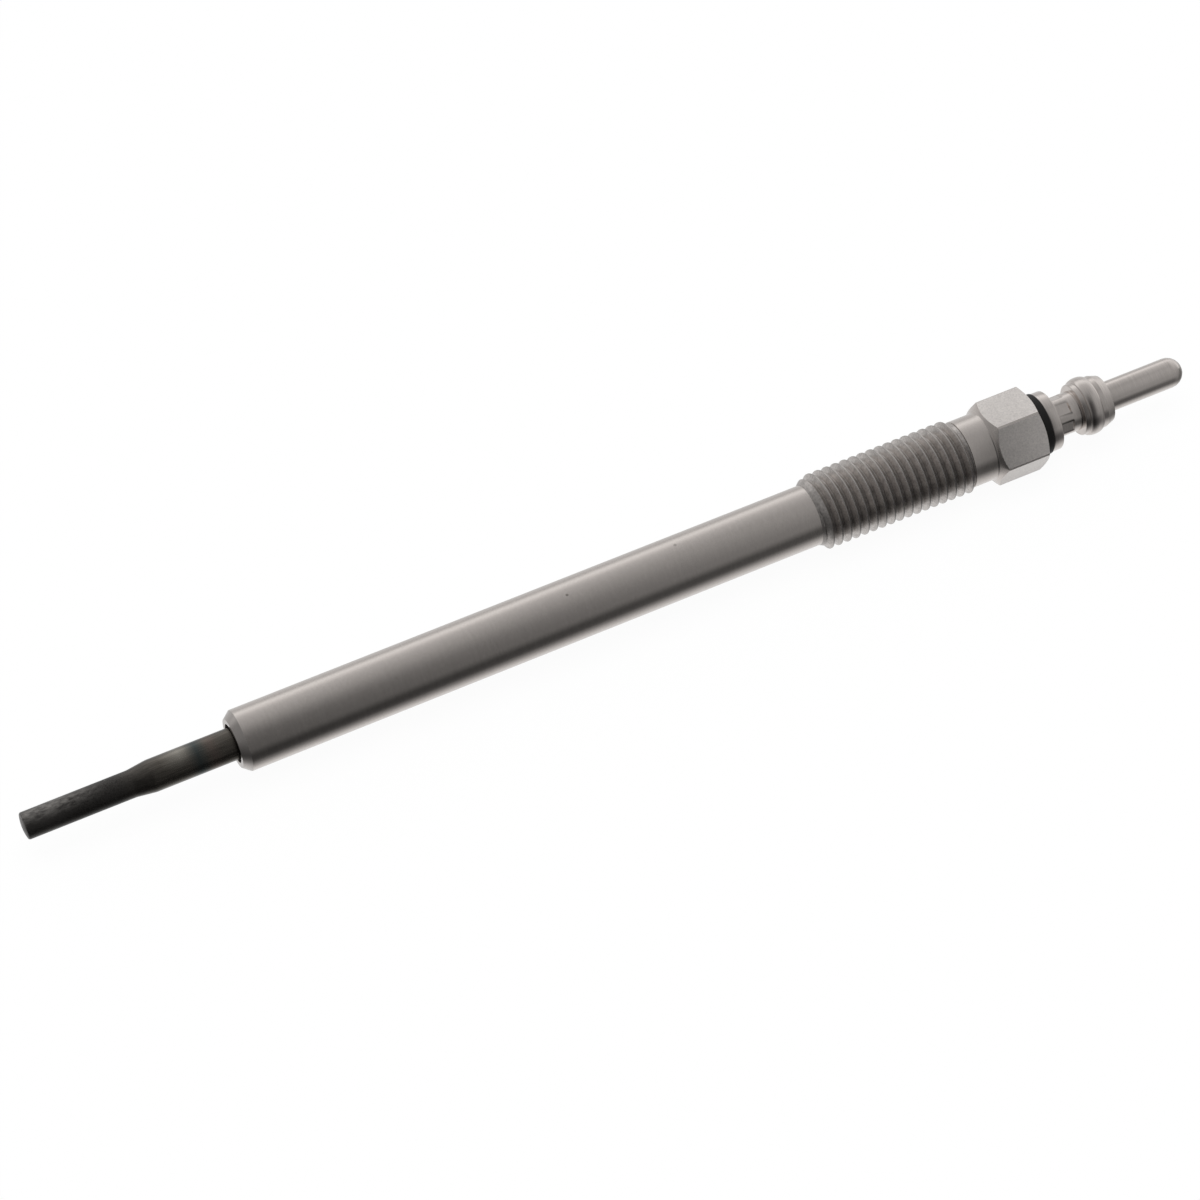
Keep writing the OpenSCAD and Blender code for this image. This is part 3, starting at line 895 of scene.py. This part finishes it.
class Studio(Nodes):
    """The world round the plug, as grey levels by direction."""

    def __init__(self):
        world = bpy.data.worlds.new("studio")
        super().__init__(world)
        bpy.context.scene.world = world

    def ramp(self, value, stops):
        """Grey levels at stops from 0 to 1."""
        node = self.add("ShaderNodeValToRGB")
        self.feed(node.inputs[0], value)
        elements = node.color_ramp.elements
        while len(elements) < len(stops):
            elements.new(0.5)
        for element, (position, level) in zip(elements, stops):
            element.position = position
            element.color = (level, level, level, 1)
        return node.outputs["Color"]

    def ring(self, angle, levels):
        """Grey levels by degrees round the axis."""
        return self.ramp(angle, [(degrees / 360 + 0.5, level) for degrees, level in levels])

    def blend(self, factor, first, second):
        """Mixes two grey levels."""
        node = self.add("ShaderNodeMix", data_type="FLOAT")
        self.feed(node.inputs[0], factor)
        self.feed(node.inputs[2], first)
        self.feed(node.inputs[3], second)
        return node.outputs[0]


def make_world():
    """Studio round the plug: bright behind and below, darker towards the camera, white to the camera."""
    studio = Studio()
    direction = studio.add("ShaderNodeTexCoord").outputs["Generated"]
    sideways, back, up = studio.split(direction)
    front = studio.math("MULTIPLY", back, -1)
    angle = studio.spread(studio.math("ARCTAN2", up, front), -math.pi, math.pi)
    gain = studio.ramp(studio.spread(sideways, -1, 1), [(share / 2 + 0.5, level) for share, level in FRONT])
    facing_front = studio.spread(front, 0, FRONT_FULL)
    lit = studio.math("MULTIPLY", studio.ring(angle, STUDIO), studio.blend(facing_front, 1, gain))
    leftness = studio.spread(sideways, LEFT_START, LEFT_FULL)
    rightness = studio.spread(sideways, RIGHT_START, RIGHT_FULL)
    seen = studio.blend(leftness, lit, studio.ring(angle, LEFT))
    seen = studio.blend(rightness, seen, studio.ring(angle, RIGHT))
    camera_ray = studio.add("ShaderNodeLightPath").outputs["Is Camera Ray"]
    background = studio.tree.nodes["Background"]
    studio.feed(background.inputs["Color"], studio.blend(camera_ray, seen, 1))


# Camera

CAMERA_LENS = 129
CAMERA_NEAR = 0.01
CAMERA_AZIMUTH = math.radians(-20.72)
CAMERA_ELEVATION = math.radians(44.26)
CAMERA_ROLL = math.radians(-6.85)
CAMERA_DISTANCE = 536 * MM
CAMERA_AIM = Vector((-3.3 * MM, -0.17 * MM, AXIS_Z - 0.165 * MM))


def make_camera():
    """Camera at the photograph's viewing angle."""
    camera = bpy.data.cameras.new("camera")
    camera.lens = CAMERA_LENS
    camera.clip_start = CAMERA_NEAR
    holder = bpy.data.objects.new("camera", camera)
    level = math.cos(CAMERA_ELEVATION)
    back = Vector((
        math.sin(CAMERA_AZIMUTH) * level, -math.cos(CAMERA_AZIMUTH) * level, math.sin(CAMERA_ELEVATION),
    ))
    holder.location = CAMERA_AIM + back * CAMERA_DISTANCE
    holder.rotation_mode = "QUATERNION"
    holder.rotation_quaternion = back.to_track_quat("Z", "Y") @ Quaternion((0, 0, 1), CAMERA_ROLL)
    bpy.context.scene.collection.objects.link(holder)
    bpy.context.scene.camera = holder


make_shell()
make_sheath()
make_bush()
make_terminal()
dress_inner_nodes()
make_floor()
make_lamp()
make_world()
make_camera()
bpy.context.scene.view_settings.view_transform = "Standard"
